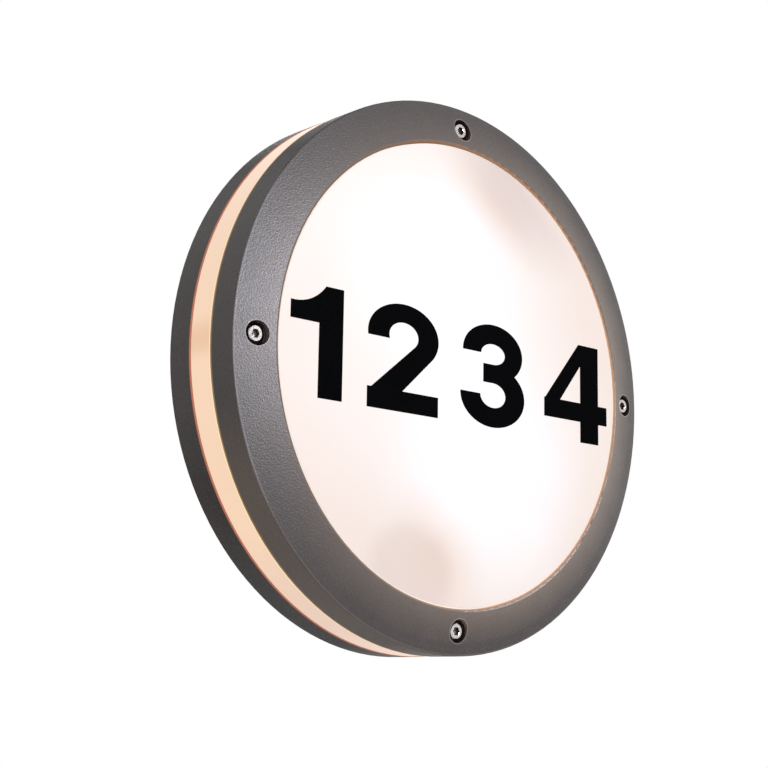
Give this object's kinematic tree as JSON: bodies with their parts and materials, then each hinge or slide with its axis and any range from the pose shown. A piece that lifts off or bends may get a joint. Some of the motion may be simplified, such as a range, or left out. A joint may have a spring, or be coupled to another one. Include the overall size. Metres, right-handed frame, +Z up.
{
  "type": "illuminated house number sign",
  "caption": "Round wall light with an opal front that carries black figures and a lit opal band round its cast metal side; two globe lamps inside.",
  "frame": {"origin": "centre of the base's flat rear face, on the wall", "axes": "+Z up the wall, +Y into the wall, so the lit front faces -Y; +X to the right seen from the front"},
  "size_m": [0.3008, 0.0563, 0.3008],
  "materials": {
    "cast_paint": "fine-textured anthracite powder coat",
    "opal_front": "satin opal, lit from inside",
    "opal_band": "satin opal, lit from inside",
    "black_foil": "matt vinyl foil",
    "stainless": "bright stainless steel",
    "black_rubber": "matt rubber",
    "clear_silicone": "milky silicone",
    "white_sheet": "gloss white lacquer",
    "spring_steel": "rolled",
    "zinc_screw": "zinc plated",
    "zinc_plate": "zinc plated sheet",
    "brass_part": "drawn brass",
    "tinned_copper": "tin plated",
    "nickel_cap": "nickel plated",
    "white_nylon": "moulded nylon",
    "white_glaze": "glazed",
    "lamp_opal": "satin opal, lit",
    "lamp_white": "moulded",
    "board_white": "white solder mask",
    "black_glass": "black glass",
    "blue_wire": "silicone insulation",
    "brown_wire": "silicone insulation",
    "green_wire": "green and yellow insulation"
  },
  "bodies": {
    "root": {"base_housing": "cast_paint", "wall_seal": "black_rubber", "reflector": "white_sheet", "cable_grommet": "black_rubber", "side_diffuser": "opal_band", "rear_band_seal": "black_rubber", "upper_lampholder_body": "white_glaze", "upper_lampholder_sleeve": "brass_part", "upper_lampholder_contact": "brass_part", "upper_holder_bracket": "zinc_plate", "lower_lampholder_body": "white_glaze", "lower_lampholder_sleeve": "brass_part", "lower_lampholder_contact": "brass_part", "lower_holder_bracket": "zinc_plate", "bracket_screws": "zinc_screw", "holder_screws": "zinc_screw", "terminal_block": "white_nylon", "terminal_clamps": "brass_part", "terminal_clamp_screws": "zinc_screw", "terminal_fixing_screws": "zinc_screw", "earth_lug": "tinned_copper", "earth_screw": "brass_part", "earth_wire": "green_wire", "upper_neutral_wire": "blue_wire", "upper_live_wire": "brown_wire", "lower_live_wire": "brown_wire", "lower_neutral_wire": "blue_wire"},
    "cover": {"front_ring": "cast_paint", "front_diffuser": "opal_front", "front_seal": "clear_silicone", "front_band_seal": "clear_silicone", "diffuser_clips": "spring_steel", "clip_screws": "stainless", "cover_screw_seals": "black_rubber", "digit_1": "black_foil", "digit_2": "black_foil", "digit_3": "black_foil", "digit_4": "black_foil"},
    "cover_screw_right": {"cover_screw_right": "stainless"},
    "cover_screw_top": {"cover_screw_top": "stainless"},
    "cover_screw_left": {"cover_screw_left": "stainless"},
    "cover_screw_bottom": {"cover_screw_bottom": "stainless"},
    "upper_lamp": {"upper_lamp_globe": "lamp_opal", "upper_lamp_housing": "lamp_white", "upper_lamp_board": "board_white", "upper_lamp_cap": "nickel_cap", "upper_lamp_insulator": "black_glass", "upper_lamp_tip": "tinned_copper"},
    "lower_lamp": {"lower_lamp_globe": "lamp_opal", "lower_lamp_housing": "lamp_white", "lower_lamp_board": "board_white", "lower_lamp_cap": "nickel_cap", "lower_lamp_insulator": "black_glass", "lower_lamp_tip": "tinned_copper"}
  },
  "joints": [
    {"name": "cover_lift", "type": "slide", "parent": "root", "child": "cover", "axis": [0, -1, 0], "range_m": [0, 0.1]},
    {"name": "cover_screw_right_turn", "type": "hinge", "parent": "cover", "child": "cover_screw_right", "pos_m": [0.137, -0.04763, 0], "axis": [0, -1, 0], "continuous": true},
    {"name": "cover_screw_top_turn", "type": "hinge", "parent": "cover", "child": "cover_screw_top", "pos_m": [0, -0.04763, 0.137], "axis": [0, -1, 0], "continuous": true},
    {"name": "cover_screw_left_turn", "type": "hinge", "parent": "cover", "child": "cover_screw_left", "pos_m": [-0.137, -0.04763, 0], "axis": [0, -1, 0], "continuous": true},
    {"name": "cover_screw_bottom_turn", "type": "hinge", "parent": "cover", "child": "cover_screw_bottom", "pos_m": [0, -0.04763, -0.137], "axis": [0, -1, 0], "continuous": true},
    {"name": "upper_lamp_turn", "type": "hinge", "parent": "root", "child": "upper_lamp", "pos_m": [-0.01201, -0.0266, 0.07099], "axis": [-0.9063, 0, -0.4226], "continuous": true},
    {"name": "lower_lamp_turn", "type": "hinge", "parent": "root", "child": "lower_lamp", "pos_m": [0.01201, -0.0266, -0.07099], "axis": [0.9063, 0, 0.4226], "continuous": true}
  ]
}
